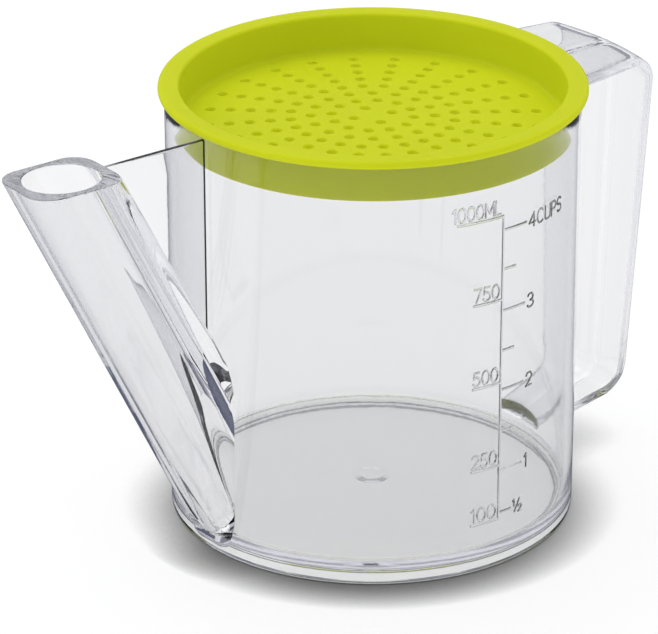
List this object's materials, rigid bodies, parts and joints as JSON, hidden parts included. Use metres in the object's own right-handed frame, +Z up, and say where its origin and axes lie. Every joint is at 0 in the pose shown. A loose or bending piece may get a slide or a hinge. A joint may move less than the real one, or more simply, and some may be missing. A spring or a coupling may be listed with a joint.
{
  "type": "gravy separator jug",
  "caption": "Clear jug that parts fat from gravy: long slanted spout fed from the floor, strap handle, raised measuring scale and a lift-off strainer lid with a dished, perforated plate.",
  "frame": {"origin": "on the round vessel's axis, at the level that the foot ring stands on", "axes": "+Z up along the vessel's axis, +X towards the handle, -X towards the pouring spout, -Y towards the side with the measuring scale"},
  "size_m": [0.2071, 0.1194, 0.1272],
  "materials": {
    "vessel_wall": "clear moulded plastic, polished",
    "vessel_floor": "clear moulded plastic, polished",
    "pouring_spout": "clear moulded plastic, polished",
    "spout_web": "clear moulded plastic, polished",
    "grip_handle": "clear moulded plastic, polished",
    "measuring_scale": "clear moulded plastic, raised lines",
    "strainer_rim": "lime green moulded plastic, satin gloss",
    "strainer_plate": "lime green moulded plastic, satin gloss"
  },
  "bodies": {
    "jug": {"vessel_wall": "vessel_wall", "vessel_floor": "vessel_floor", "pouring_spout": "pouring_spout", "spout_web": "spout_web", "grip_handle": "grip_handle", "measuring_scale": "measuring_scale"},
    "strainer_lid": {"strainer_rim": "strainer_rim", "strainer_plate": "strainer_plate"}
  },
  "joints": [
    {"name": "lid_lift", "type": "slide", "parent": "jug", "child": "strainer_lid", "axis": [0, 0, 1], "range_m": [0, 0.05]}
  ]
}
